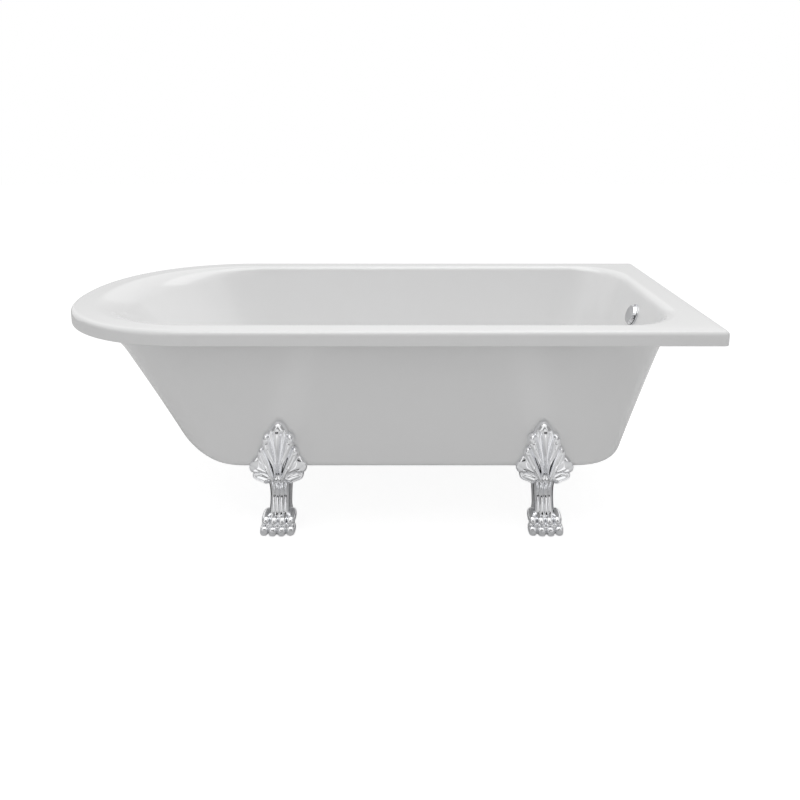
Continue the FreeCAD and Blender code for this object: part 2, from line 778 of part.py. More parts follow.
def make_lift_arm():
    """Cross arm at the foot of the stem, which the cable pushes up."""
    low = plug_seat - Vector(0, 0, stem_length - stem_entry + arm_thickness)
    return block(low - Vector(arm_back, arm_width / 2, 0),
                 low + Vector(arm_front, arm_width / 2, arm_thickness))


# ------------------------------------------------------ overflow and its knob
housing_front = -shell_thickness - body_seal
hose_bore = hose_radius - hose_wall


def screw_places():
    return [Vector(0, side * overflow_screw_circle, 0) for side in (-1, 1)]


def make_bezel():
    """Plate against the wall, with holes for the water and two for screws."""
    bezel = cylinder(bezel_radius, bezel_thickness)
    rim = [e for e in bezel.Edges if len(e.Vertexes) == 1 and e.CenterOfMass.z > 1]
    bezel = bezel.makeFillet(bezel_thickness * 0.5, rim)
    bezel = bezel.cut(cylinder(spindle_radius + shaft_gap, bezel_thickness))
    for turn in (-30, 30, 150, 210):
        hole = cylinder(drain_hole_radius, bezel_thickness, Vector(drain_hole_circle, 0, 0))
        hole.rotate(Vector(), Vector(0, 0, 1), turn)
        bezel = bezel.cut(hole)
    for place in screw_places():
        bezel = bezel.cut(cylinder(overflow_screw_radius + shaft_gap, bezel_thickness, place))
        bezel = bezel.cut(cylinder(overflow_screw_radius * 2, screw_head_sink,
                                   place + Vector(0, 0, bezel_thickness - screw_head_sink)))
    return on_wall(bezel)


def make_overflow_screw(place):
    """Cheese-head screw from the bezel into the housing."""
    seat = bezel_thickness - screw_head_sink
    head = cylinder(overflow_screw_radius * 2 - seat_gap, screw_head_height,
                    place + Vector(0, 0, seat))
    shank = cylinder(overflow_screw_radius, overflow_screw_length,
                     place + Vector(0, 0, seat - overflow_screw_length))
    return on_wall(head.fuse(shank))


def make_knob():
    """Turning cap: sloped edge with finger notches, dished face, hub in a hollow back."""
    base = bezel_thickness + turn_gap
    hollow = knob_thickness - knob_wall
    hollow_radius = notch_circle - notch_radius - knob_wall
    knob = Part.makeCone(knob_radius, knob_face_radius, knob_thickness, Vector(0, 0, base))
    rim = [e for e in knob.Edges
           if len(e.Vertexes) == 1 and e.CenterOfMass.z > base + 1]
    knob = knob.makeFillet(knob_edge_radius, rim)
    dish = (dish_radius ** 2 + dish_depth ** 2) / (2 * dish_depth)
    knob = knob.cut(Part.makeSphere(dish, Vector(0, 0, base + knob_thickness
                                                 + dish - dish_depth)))
    knob = knob.cut(ring(hollow_radius, spindle_radius + spindle_hub_wall, hollow,
                         Vector(0, 0, base)))
    knob = knob.cut(cylinder(spindle_radius, hollow, Vector(0, 0, base)))
    for k in range(knob_notches):
        notch = cylinder(notch_radius, knob_thickness, Vector(notch_circle, 0, base))
        notch.rotate(Vector(), Vector(0, 0, 1), 360 * k / knob_notches)
        knob = knob.cut(notch)
    return on_wall(knob)


def make_spindle():
    top = bezel_thickness + turn_gap + knob_thickness - knob_wall
    low = housing_front - housing_depth + housing_wall + turn_gap
    return on_wall(cylinder(spindle_radius, top - low, Vector(0, 0, low)))


def make_cable_drum():
    """Drum on the spindle that winds the cable's wire."""
    return on_wall(ring(drum_radius, spindle_radius, drum_width,
                        Vector(0, 0, -shell_thickness)))


def make_overflow_seal():
    return on_wall(ring(housing_radius, overflow_hole_radius + bolt_gap, body_seal,
                        Vector(0, 0, housing_front)))


def make_overflow_housing():
    """Cup behind the wall: collar in the hole, spindle hub, hose and cable outlets."""
    back = housing_front - housing_depth
    collar = overflow_hole_radius - bolt_gap
    collar_length = shell_thickness + body_seal - turn_gap
    outlet_z = -shell_thickness - hose_offset
    spigot = hose_bore - shaft_gap
    down = Vector(-1, 0, 0)
    cup = cylinder(housing_radius, housing_depth, Vector(0, 0, back))
    cup = cup.fuse(cylinder(collar, collar_length, Vector(0, 0, housing_front)))
    cup = cup.fuse(cylinder(spigot, housing_radius + hose_grip + seat_gap,
                            Vector(0, 0, outlet_z), down))
    cup = cup.fuse(cylinder(cable_radius + gland_wall, housing_radius,
                            Vector(0, cable_side, outlet_z), down))
    cup = cup.cut(cylinder(collar - housing_wall, housing_depth + collar_length,
                           Vector(0, 0, back + housing_wall)))
    cup = cup.cut(cylinder(spigot - spigot_wall, housing_radius + 2 * hose_grip,
                           Vector(0, 0, outlet_z), down))
    cup = cup.fuse(cylinder(spindle_radius + spindle_hub_wall, housing_depth - housing_wall,
                            Vector(0, 0, back + housing_wall - 1)))
    for place in screw_places():
        boss = cylinder(overflow_screw_radius + screw_boss_wall,
                        housing_depth + collar_length - 1, place + Vector(0, 0, back + 1))
        cup = cup.fuse(boss)
        hole_z = bezel_thickness - screw_head_sink - overflow_screw_length - turn_gap
        cup = cup.cut(cylinder(overflow_screw_radius + shaft_gap, overflow_screw_length + over,
                               place + Vector(0, 0, hole_z)))
    cup = cup.cut(cylinder(spindle_radius + shaft_gap, housing_depth + 2 * over,
                           Vector(0, 0, back + housing_wall)))
    return on_wall(cup)


def drop_route(side, start_reach, end_reach):
    """Path down behind the tap-end wall and in under the floor, beside the hose by side.

    It keeps the hose's distance from the basin's outside face all the way.
    """
    radius = tap_wall.base_radius + shell_thickness + hose_offset
    floor_end = half_length - wall_inset(tap_wall, basin_depth, basin_depth)
    centre = Vector(floor_end, side, floor_z + tap_wall.base_radius)
    out = -wall_normal
    down = Vector(-math.sin(wall_lean), 0, -math.cos(wall_lean))
    start = (overflow_centre + out * (shell_thickness + hose_offset)
             + Vector(0, side, 0) + down * start_reach)
    bend_start = centre + out * radius
    middle_angle = -(math.pi / 2 + wall_lean) / 2
    bend_middle = centre + Vector(math.cos(middle_angle), 0, math.sin(middle_angle)) * radius
    bend_end = centre - Vector(0, 0, radius)
    end = Vector(waste_x + end_reach, side, bend_end.z)
    route = Part.Wire([line(start, bend_start),
                       Part.Arc(bend_start, bend_middle, bend_end).toShape(),
                       line(bend_end, end)])
    return route, start, down, end


def tube(route, start, direction, radius):
    profile = Part.Wire(Part.Circle(start, direction, radius).toShape())
    return route.makePipeShell([profile], True, False)


def hose_route():
    return drop_route(0.0, housing_radius + seat_gap, flange_radius + seat_gap)


def make_hose():
    route, start, down, _ = hose_route()
    return tube(route, start, down, hose_radius).cut(tube(route, start, down, hose_bore))


def make_cable_sheath():
    route, start, down, _ = drop_route(cable_side, housing_radius,
                                       chamber_radius + gland_length)
    return tube(route, start, down, cable_radius)


def make_hose_nuts():
    """Clamping nuts on the hose's two ends."""
    _, start, down, end = hose_route()
    inner = hose_radius + shaft_gap
    return (ring(hose_nut_radius, inner, hose_nut_length, start, down),
            ring(hose_nut_radius, inner, hose_nut_length, end, Vector(1, 0, 0)))


# -------------------------------------------------------------------- output
if __name__ == "__main__":
    save("inner_tub", make_inner_tub())
    save("outer_skin", make_outer_skin())
    save("rim_bond", make_rim_bond())
    save("base_board", make_base_board())
    save("bearer_head_end", make_bearer(head_feet_x))
    save("bearer_tap_end", make_bearer(tap_feet_x))

    for end_name, x, lean in (("head", head_feet_x, 1), ("tap", tap_feet_x, -1)):
        foot = make_foot(x, lean)
        screw, pad = make_levelling(x, lean)
        for name, piece in (("foot", foot), ("levelling_screw", screw),
                            ("levelling_pad", pad)):
            save(name + "_front_" + end_name, piece)
            save(name + "_rear_" + end_name, at_rear(piece))
    places = stud_places()
    save("foot_studs", *[make_stud(place) for place in places])
    save("foot_washers", *[make_washer(place) for place in places])
    save("foot_nuts", *[make_nut(place) for place in places])

    seal_ring = ring(flange_radius - 1, waste_hole_radius + bolt_gap, waste_seal, waste_centre)
    save("waste_flange_seal", seal_ring)
    save("waste_flange", make_waste_flange())
    lower_seal = ring(flange_radius - 1, waste_hole_radius + bolt_gap, body_seal,
                      waste_centre - Vector(0, 0, shell_thickness + body_seal))
    save("waste_body_seal", lower_seal)
    save("waste_body", make_waste_body())
    save("plug", make_plug())
    save("plug_seal", make_plug_seal())
    save("plug_stem", make_plug_stem())
    save("lift_arm", make_lift_arm())

    save("overflow_bezel", make_bezel())
    save("overflow_screws", *[make_overflow_screw(place) for place in screw_places()])
    save("overflow_knob", make_knob())
    save("knob_spindle", make_spindle())
    save("cable_drum", make_cable_drum())
    save("overflow_seal", make_overflow_seal())
    save("overflow_housing", make_overflow_housing())
    save("overflow_hose", make_hose())
    save("hose_nuts", *make_hose_nuts())
    save("cable_sheath", make_cable_sheath())
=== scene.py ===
import math

import bmesh
import bpy
import numpy as np
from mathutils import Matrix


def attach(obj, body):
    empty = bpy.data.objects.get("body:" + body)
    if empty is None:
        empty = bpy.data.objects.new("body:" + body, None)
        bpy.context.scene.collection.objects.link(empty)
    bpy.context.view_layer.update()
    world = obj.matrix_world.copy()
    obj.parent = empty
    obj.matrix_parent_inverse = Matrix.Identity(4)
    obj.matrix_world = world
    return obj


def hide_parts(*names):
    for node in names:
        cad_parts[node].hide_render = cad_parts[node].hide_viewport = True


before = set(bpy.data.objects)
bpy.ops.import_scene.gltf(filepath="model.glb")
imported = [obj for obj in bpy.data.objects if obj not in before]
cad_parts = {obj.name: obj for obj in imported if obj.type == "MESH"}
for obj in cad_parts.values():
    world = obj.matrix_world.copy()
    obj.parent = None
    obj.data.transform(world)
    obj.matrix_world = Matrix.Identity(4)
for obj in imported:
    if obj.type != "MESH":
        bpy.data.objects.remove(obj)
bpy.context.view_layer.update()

# ---------------------------------------------------------------------------
# Studio: the camera stands at the photograph's angle, ten degrees down on the
# front of the bath.  A white floor, one broad soft lamp overhead and dim even
# sky light; black, grey and white cards give the chrome something to reflect.
camera_data = bpy.data.cameras.new("camera")
camera_data.sensor_width = 36.0
camera_data.lens = 29.52
camera_data.shift_x = -0.0258
camera_data.shift_y = -0.2065
camera = bpy.data.objects.new("camera", camera_data)
camera_x = 0.117
camera.location = (camera_x, -1.854, 1.082)
camera.rotation_euler = (math.radians(80.0), 0.0, 0.0)
bpy.context.scene.collection.objects.link(camera)
bpy.context.scene.camera = camera
bpy.context.scene.view_settings.view_transform = "Standard"


class Value:
    """A shader socket.  Arithmetic on it adds Math nodes to the same material."""

    def __init__(self, finish, socket):
        self.finish = finish
        self.socket = socket

    def math(self, operation, other):
        return self.finish.node("Math", {"operation": operation}, {0: self, 1: other})

    def __add__(self, other):
        return self.math("ADD", other)

    def __mul__(self, other):
        return self.math("MULTIPLY", other)

    __radd__ = __add__
    __rmul__ = __mul__


class Finish:
    """One node tree: node() adds a node of any type and returns one of its outputs."""

    def __init__(self, owner):
        owner.use_nodes = True
        self.owner = owner
        self.tree = owner.node_tree
        self.tree.nodes.clear()

    def node(self, kind, settings=None, inputs=None, out=0):
        node = self.tree.nodes.new("ShaderNode" + kind)
        for key, value in (settings or {}).items():
            if key == "stops":
                ramp = node.color_ramp
                while len(ramp.elements) < len(value):
                    ramp.elements.new(0.5)
                for element, (place, colour) in zip(ramp.elements, value):
                    element.position = place
                    element.color = (*colour, 1.0)
            else:
                setattr(node, key, value)
        for key, value in (inputs or {}).items():
            if isinstance(value, Value):
                self.tree.links.new(value.socket, node.inputs[key])
            else:
                node.inputs[key].default_value = value
        return Value(self, node.outputs[out] if len(node.outputs) else None)


def material(name):
    return Finish(bpy.data.materials.new(name))


def seen_white(finish):
    """1 for rays from the camera and rays that a mirror or glass sends on, else 0."""
    seen = finish.node("LightPath", out="Is Camera Ray")
    glossy = finish.node("LightPath", out="Is Glossy Ray")
    through = finish.node("LightPath", out="Is Transmission Ray")
    return seen.math("MAXIMUM", glossy).math("MAXIMUM", through)


# The camera and the mirrors see a white sky; all other rays meet a dimmer one.
world = bpy.data.worlds.new("studio")
bpy.context.scene.world = world
sky = Finish(world)
white = sky.node("Background", None, {"Color": (1.0, 1.0, 1.0, 1.0), "Strength": 1.0})
dim = sky.node("Background", None, {"Color": (1.0, 1.0, 1.0, 1.0), "Strength": 0.475})
sky.node("OutputWorld", None,
         {"Surface": sky.node("MixShader", None, {0: seen_white(sky), 1: dim, 2: white})})

floor_mesh = bpy.data.meshes.new("floor")
floor_half = 9
floor_mesh.from_pydata([(a * floor_half, b * floor_half, 0) for a, b in
                        ((-1, -1), (1, -1), (1, 1), (-1, 1))], [], [(0, 1, 2, 3)])
floor = bpy.data.objects.new("floor", floor_mesh)
bpy.context.scene.collection.objects.link(floor)
# The camera sees paper that glows almost white and keeps a thin shadow; light and
# mirrors meet plain pale paper.
paper = material("floor_paper")
shade = paper.node("BsdfDiffuse", None, {"Color": (0.84, 0.84, 0.84, 1.0)})
thin_shade = paper.node("BsdfDiffuse", None, {"Color": (0.35, 0.35, 0.35, 1.0)})
glow = paper.node("Emission", None, {"Color": (1.0, 1.0, 1.0, 1.0), "Strength": 0.86})
lit = paper.node("AddShader", None, {0: thin_shade, 1: glow})
direct = paper.node("LightPath", out="Is Camera Ray")
paper.node("OutputMaterial", None,
           {"Surface": paper.node("MixShader", None, {0: direct, 1: shade, 2: lit})})
floor_mesh.materials.append(paper.owner)


def lamp(name, place, aim, size, power):
    """A soft rectangular lamp at a place, turned to face a point."""
    data = bpy.data.lights.new(name, "AREA")
    data.shape = "RECTANGLE"
    data.size, data.size_y = size
    data.energy = power
    lamp_object = bpy.data.objects.new(name, data)
    lamp_object.location = place
    way = np.array(aim, float) - np.array(place, float)
    pitch = math.atan2(math.hypot(way[0], way[1]), -way[2])
    lamp_object.rotation_euler = (pitch, 0.0, math.atan2(-way[0], way[1]))
    bpy.context.scene.collection.objects.link(lamp_object)


lamp("overhead", (0.2, -0.3, 3.4), (0.0, 0.0, 0.3), (4.2, 2.6), 58.0)


def card(name, centre, half_across, half_up, tone, flat=False):
    """A card that only mirrors see, facing the bath or lying flat on the floor.

    Its tone runs from 0, black, to 1, white.
    """
    x, y, z = centre
    length = math.hypot(x, y)
    side = np.array((1.0, 0.0, 0.0)) if flat else np.array((-y, x, 0.0)) / length
    up = np.array((0.0, 1.0, 0.0) if flat else (0.0, 0.0, 1.0))
    corners = [np.array(centre) + a * half_across * side + b * half_up * up
               for a, b in ((-1, -1), (1, -1), (1, 1), (-1, 1))]
    mesh = bpy.data.meshes.new(name)
    mesh.from_pydata([tuple(c) for c in corners], [], [(0, 1, 2, 3)])
    thing = bpy.data.objects.new(name, mesh)
    bpy.context.scene.collection.objects.link(thing)
    for ray in ("visible_camera", "visible_diffuse", "visible_shadow", "visible_transmission"):
        setattr(thing, ray, False)
    paint = material(name)
    paint.node("OutputMaterial", None, {"Surface": paint.node(
        "Emission", None, {"Color": (tone, tone, tone, 1.0), "Strength": 1.0})})
    mesh.materials.append(paint.owner)


card("grey_card_front", (0.1, -3.4, 1.0), 2.6, 0.85, 0.42)
card("black_card_front", (0.1, -3.3, 2.35), 1.3, 0.40, 0.01)
card("black_card_low", (0.1, -2.6, 0.22), 1.6, 0.17, 0.01)
# On the floor before each foot lies a white strip that the leg's reeds mirror to the
# camera, placed further out than the foot, and right before the paw a thin black one.
strip_spread = 0.22
for place, foot_x in (("head", -0.25), ("tap", 0.44)):
    strip_x = foot_x + (foot_x - camera_x) * strip_spread
    card("white_strip_" + place, (strip_x, -0.80, 0.004), 0.055, 0.43, 1.1, True)
    card("black_strip_" + place, (foot_x, -0.362, 0.003), 0.12, 0.012, 0.004, True)
card("grey_card_left", (-3.2, -0.6, 0.9), 1.2, 0.8, 0.35)
card("grey_card_right", (3.2, -0.6, 0.9), 1.2, 0.8, 0.35)
card("grey_card_back", (0.0, 3.4, 1.0), 3.4, 0.8, 0.66)

# ---------------------------------------------------------------------------
# Inner tub: basin and rim in one white acrylic moulding.  The rim is flat and
# turned down all round; the head end is round and sloped, the tap end square.
# The sizes repeat the part's source, in millimetres here, turned to metres below.
tub_length, tub_width, tub_height = 1700.0, 750.0, 590.0
half_length, half_width = tub_length / 2, tub_width / 2
rim_head_length, rim_head_power = 415.0, 2.17
rim_corner, rim_edge, lip_drop, lip_thickness, rim_thickness = 14.0, 12.0, 37.0, 7.0, 8.0
# Each wall: ledge, lip radius, slope in degrees, base radius.
head_wall = (55.0, 100.0, 35.0, 120.0)
side_wall = (48.0, 15.0, 8.0, 80.0)
tap_wall = (64.0, 28.0, 19.0, 90.0)
basin_depth, shell_thickness = 350.0, 6.0
# Length of the head end's curve at the top and at the floor, its superellipse power,
# and the radius of the basin's two corners.
basin_head_top, basin_head_base, basin_head_power, basin_corner = 360.0, 170.0, 2.2, 150.0
waste_x, waste_hole = 535.0, 26.0
overflow_depth, overflow_hole = 74.0, 26.0


def linked(name, mesh, finish, body="bath"):
    """Put a finished mesh in the scene, smooth but for its sharp edges, on a body."""
    mesh.shade_smooth()
    mesh.set_sharp_from_angle(angle=math.radians(38))
    mesh.materials.append(finish.owner)
    piece = bpy.data.objects.new(name, mesh)
    bpy.context.scene.collection.objects.link(piece)
    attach(piece, body)
    return piece


def grid_mesh(name, grids):
    """One mesh of several grids of points, each (points, rows close, columns close).

    Neighbouring points of a grid make its quads.  Points that fall together, as at
    a pole, are merged, and each closed form's faces are turned outwards.
    """
    points, faces, start = [], [], 0
    for grid, wrap_rows, wrap_columns in grids:
        rows, columns = grid.shape[:2]
        index = start + np.arange(rows * columns).reshape(rows, columns)
        if wrap_rows:
            index = np.concatenate([index, index[:1]])
        if wrap_columns:
            index = np.concatenate([index, index[:, :1]], axis=1)
        quads = np.stack([index[:-1, :-1], index[:-1, 1:], index[1:, 1:], index[1:, :-1]], -1)
        points.append(grid.reshape(-1, 3))
        faces.append(quads.reshape(-1, 4))
        start += rows * columns
    points = np.concatenate(points)
    faces = np.concatenate(faces)
    mesh = bpy.data.meshes.new(name)
    mesh.from_pydata(points, [], faces)
    form = bmesh.new()
    form.from_mesh(mesh)
    bmesh.ops.remove_doubles(form, verts=form.verts, dist=2e-6)
    bmesh.ops.dissolve_degenerate(form, edges=form.edges, dist=1e-7)
    bmesh.ops.recalc_face_normals(form, faces=form.faces)
    form.to_mesh(mesh)
    form.free()
    return mesh


def end_round(count, power):
    """Half a superellipse of unit reach, from +90 to -90 degrees: (along, across)."""
    angle = np.linspace(math.pi / 2, -math.pi / 2, count)
    along = np.cos(angle).clip(0) ** (2 / power)
    across = np.sign(np.sin(angle)) * np.abs(np.sin(angle)) ** (2 / power)
    return along, across


def square_ended(head_x, reach, power, tap_x, corner, half, z):
    """Outlines with a round head end and a square tap end, one row per height.

    Head: a superellipse.  Then straight side, quarter-circle corner, straight end,
    corner and side.  Every argument but power is an array of one value per row.
    """
    head_x, reach, tap_x, corner, half, z = [
        np.atleast_1d(np.asarray(a, float))[:, None] for a in
        np.broadcast_arrays(head_x, reach, tap_x, corner, half, z)]
    along, across = end_round(97, power)
    start = head_x + reach
    near = tap_x - corner
    turn = np.linspace(0, math.pi / 2, 25)[1:-1]
    share = np.linspace(0, 1, 41)[1:]
    end_share = np.linspace(0, 1, 17)
    side = half - corner
    x = [start - reach * along, start + (near - start) * share, near + corner * np.sin(turn),
         tap_x + 0 * end_share, near + corner * np.cos(turn),
         near + (start - near) * np.linspace(0, 1, 41)[:-1]]
    y = [half * across, -half + 0 * share, -side - corner * np.cos(turn),
         -side + 2 * side * end_share, side + corner * np.sin(turn), half + 0 * share]
    x = np.concatenate([np.broadcast_to(a, (len(z), a.shape[-1])) for a in x], 1)
    y = np.concatenate([np.broadcast_to(a, (len(z), a.shape[-1])) for a in y], 1)
    return np.stack([x, y, np.broadcast_to(z, x.shape)], -1)


def wall_inset(wall, depth, grow=0.0):
    """How far in a basin wall is at each depth: lip arc, leaning wall, base arc."""
    ledge, lip, slope, base = wall
    lip, base, lean = lip - grow, base + grow, math.radians(slope)
    lip_end = lip * (1 - math.sin(lean))
    at_lip = ledge + lip * math.cos(lean)
    tangent = base * math.tan(math.pi / 4 - lean / 2)
    corner = at_lip + (basin_depth - lip_end) * math.tan(lean)
    rolled = ledge + np.sqrt(np.maximum(0, lip ** 2 - (lip - depth) ** 2))
    straight = at_lip + (depth - lip_end) * math.tan(lean)
    rise = basin_depth - depth
    based = corner + tangent - np.sqrt(np.maximum(0, base ** 2 - (base - rise) ** 2))
    return np.where(depth < lip_end, rolled,
                    np.where(depth < basin_depth - tangent * math.cos(lean), straight, based))


def basin(depth, grow=0.0):
    """The basin's outlines at an array of depths; grow gives the shell's outside."""
    share = depth / basin_depth
    inset = wall_inset(head_wall, depth)
    start = -half_length + inset + basin_head_top + (basin_head_base - basin_head_top) * share
    head_x = -half_length + wall_inset(head_wall, depth, grow)
    return square_ended(head_x, start - head_x, basin_head_power,
                        half_length - wall_inset(tap_wall, depth, grow), basin_corner + grow,
                        half_width - wall_inset(side_wall, depth, grow),
                        tub_height - depth - grow)


def rim(inset, z):
    """The rim's outline moved in by an inset, at a height, one row for each."""
    inset = np.asarray(inset, float)
    return square_ended(-half_length + inset, rim_head_length - inset, rim_head_power,
                        half_length - inset, np.maximum(rim_corner - inset, 0.5),
                        half_width - inset, z)


def to_circle(outline, centre_x, radius, z, rows):
    """Rows that run straight in from an outline to a circle of that radius."""
    middle = np.array((centre_x, 0.0, z))
    way = outline - middle
    way[:, 2] = 0
    ring = middle + radius * way / np.linalg.norm(way, axis=1, keepdims=True)
    outline = outline * (1, 1, 0) + (0, 0, z)
    share = np.linspace(0, 1, rows + 1)[1:, None, None]
    return outline + (ring - outline) * share


# Depths of the basin's rows, closer together over the rolls at its top and its floor.
top_roll, floor_roll = 46.0, 78.0
down_roll = top_roll * np.linspace(0, 1, 26) ** 2
up_roll = basin_depth - floor_roll * np.linspace(0, 1, 26)[::-1] ** 2
depths = np.concatenate([down_roll, np.linspace(top_roll, basin_depth - floor_roll, 16)[1:-1],
                         up_roll])
under = depths[depths > rim_thickness - shell_thickness][::-1]
# The rim's rows: round the lip's foot, one row just under the rim's edge, and over it.
turn = np.linspace(0, math.pi / 2, 9)
lip_turn = np.linspace(0, math.pi / 2, 5)
edge_top = tub_height - rim_edge + rim_edge * np.sin(turn)
edge_in = rim_edge * (1 - np.cos(turn))
foot_round, under_edge = 2, 8
lip_foot = tub_height - lip_drop + foot_round
rim_rows = [rim(lip_thickness - foot_round + foot_round * np.cos(lip_turn),
                lip_foot - foot_round * np.sin(lip_turn)),
            rim(foot_round - foot_round * np.sin(lip_turn),
                lip_foot - foot_round * np.cos(lip_turn)),
            rim(0 * edge_in[:1], edge_top[:1] - under_edge), rim(edge_in, edge_top)]
top_edge, ledge_edge = rim_rows[-1][-1], basin(depths[:1])[0]
ledge_share = np.linspace(0, 1, 7)[1:-1, None, None]
inside = basin(depths)
outside = basin(under, shell_thickness)
floor_z, shell_z = tub_height - basin_depth, tub_height - basin_depth - shell_thickness
underside = tub_height - rim_thickness
tub_rows = rim_rows + [
    top_edge + (ledge_edge - top_edge) * ledge_share,
    inside,
    to_circle(inside[-1], waste_x, waste_hole, floor_z, 9),
    to_circle(outside[0], waste_x, waste_hole, shell_z, 5)[::-1],
    outside,
    rim([lip_thickness], [underside]),
]
tub_mesh = grid_mesh("inner_tub_form", [(np.concatenate(tub_rows) / 1000.0, True, True)])


def acrylic(name, base):
    """Gloss white acrylic: barely warm, a trace of ripple in the gloss and fine wear."""
    finish = material(name)
    place = finish.node("TexCoord", out="Object")
    cloud = finish.node("TexNoise", None, {"Vector": place, "Scale": 2.5, "Detail": 3.0})
    fine = finish.node("TexNoise", None, {"Vector": place, "Scale": 160.0, "Detail": 4.0})
    ripple = finish.node("TexNoise", None, {"Vector": place, "Scale": 9.0, "Detail": 1.0})
    colour = finish.node("Mix", {"data_type": "RGBA"},
                         {"Factor": cloud, 6: (*base, 1.0),
                          7: (base[0] * 0.985, base[1] * 0.985, base[2] * 0.985, 1.0)}, out=2)
    bump = finish.node("Bump", None, {"Height": ripple, "Strength": 0.05, "Distance": 0.002})
    shader = finish.node("BsdfPrincipled", None, {
        "Base Color": colour, "Roughness": 0.13 + fine * 0.08, "Normal": bump,
        "IOR": 1.49, "Coat Weight": 0.35, "Coat Roughness": 0.04})
    finish.node("OutputMaterial", None, {"Surface": shader})
    return finish


white_acrylic = acrylic("tub_acrylic", (0.86, 0.86, 0.86))
inner_tub = linked("inner_tub_moulding", tub_mesh, white_acrylic)
lean = math.radians(tap_wall[2])
wall_out = np.array((-math.cos(lean), 0.0, math.sin(lean)))
wall_down = np.array((-math.sin(lean), 0.0, -math.cos(lean)))
overflow_x = half_length - float(wall_inset(tap_wall, np.array([overflow_depth]))[0])
overflow_place = np.array((overflow_x, 0.0, tub_height - overflow_depth)) / 1000.0


def turned(profile, columns=96, centre=(0, 0, 0), axis=(0, 0, 1), across=(1, 0, 0)):
    """A lathe form: (radius, height) pairs in mm go round an axis through a centre in metres."""
    profile = np.asarray(profile, float) / 1000.0
    axis, across = np.array(axis, float), np.array(across, float)
    third = np.cross(axis, across)
    angle = np.linspace(0, 2 * math.pi, columns, endpoint=False)[None, :, None]
    radius, height = profile[:, :1, None], profile[:, 1:, None]
    return (np.array(centre) + radius * (np.cos(angle) * across + np.sin(angle) * third)
            + height * axis)


# A short rod on the overflow's axis cuts its hole in the tap-end wall.
drill_mesh = grid_mesh("drill", [(turned(
    [(0, -12), (overflow_hole, -12), (overflow_hole, 6), (0, 6)], 96,
    overflow_place, wall_out, wall_down), False, True)])
drill = bpy.data.objects.new("drill", drill_mesh)
bpy.context.scene.collection.objects.link(drill)
cut = inner_tub.modifiers.new("overflow_hole", "BOOLEAN")
cut.object = drill
cut.operation = "DIFFERENCE"
cut.solver = "EXACT"
bpy.context.view_layer.update()
drilled = bpy.data.meshes.new_from_object(
    inner_tub.evaluated_get(bpy.context.evaluated_depsgraph_get()))
inner_tub.modifiers.clear()
inner_tub.data = drilled
bpy.data.objects.remove(drill)
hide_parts("inner_tub")

# ---------------------------------------------------------------------------
# Outer skin: the second acrylic shell that hides the basin's underside.  Round
# at both ends, it flares to meet the rim at the head end and has a flat base.
# Each flank: inset, slope in degrees, base radius, flare.
head_flank = (117.0, 33.1, 180.0, 45.0)
side_flank = (30.0, 7.1, 26.0, 0.0)
tap_flank = (50.0, 20.0, 34.0, 0.0)
skin_depth, skin_thickness, flare_height = 391.0, 5.0, 84.0
# Length of each end's curve at the rim and at the base, and its superellipse power.
skin_head_top, skin_head_base, skin_head_power = 265.0, 100.0, 2.3
skin_tap_top, skin_tap_base, skin_tap_power = half_width - 5.0, half_width - 206.0, 2.8
square_length, square_height = 80.0, 130.0
chamber_hole = 35.0             # radius of the hole in the base, round the waste


def flank_inset(flank, depth, inward=0.0):
    """How far in the skin is at each depth: flared top, leaning flank, base arc."""
    inset, slope, base, flare = flank
    lean, base, total = math.radians(slope), base - inward, skin_depth - inward
    straight = inset + (depth - lip_drop) * math.tan(lean) + inward / math.cos(lean)
    share = np.minimum(1.0, (depth - rim_thickness) / flare_height)
    tangent = base * math.tan(math.pi / 4 - lean / 2)
    corner = inset + (total - lip_drop) * math.tan(lean) + inward / math.cos(lean)
    rise = total - depth
    based = corner + tangent - np.sqrt(np.maximum(0, base ** 2 - (base - rise) ** 2))
    return np.where(depth < total - tangent * math.cos(lean),
                    straight - flare * (1 - share) ** 2, based)


def round_ended(head_x, head_reach, head_power, tap_x, tap_reach, tap_power, half, z):
    """Outlines with a superellipse round each end and straight sides, one row per height."""
    head_x, head_reach, tap_x, tap_reach, half, z = [
        np.atleast_1d(np.asarray(a, float))[:, None] for a in
        np.broadcast_arrays(head_x, head_reach, tap_x, tap_reach, half, z)]
    along, across = end_round(97, head_power)
    tap_along, tap_across = end_round(97, tap_power)
    start, end = head_x + head_reach, tap_x - tap_reach
    share = np.linspace(0, 1, 41)[1:-1]
    x = [start - head_reach * along, start + (end - start) * share,
         end + tap_reach * tap_along, end + (start - end) * share]
    y = [half * across, -half + 0 * share, -half * tap_across, half + 0 * share]
    x = np.concatenate([np.broadcast_to(a, (len(z), a.shape[-1])) for a in x], 1)
    y = np.concatenate([np.broadcast_to(a, (len(z), a.shape[-1])) for a in y], 1)
    return np.stack([x, y, np.broadcast_to(z, x.shape)], -1)


def skin(depth, inward=0.0):
    """The skin's outlines at an array of depths; inward gives its inner face.

    The tap end is squarer near the rim and takes its own curve further down.
    """
    share = (depth - lip_drop) / (skin_depth - lip_drop)
    head_reach = skin_head_top + (skin_head_base - skin_head_top) * share - inward
    tap_reach = skin_tap_top + (skin_tap_base - skin_tap_top) * share - inward
    square = square_length * np.maximum(0.0, 1 - (depth - rim_thickness) / square_height) ** 2
    return round_ended(-half_length + flank_inset(head_flank, depth, inward),
                       head_reach, skin_head_power,
                       half_length - flank_inset(tap_flank, depth, inward),
                       tap_reach - square, skin_tap_power,
                       half_width - flank_inset(side_flank, depth, inward),
                       tub_height - depth)


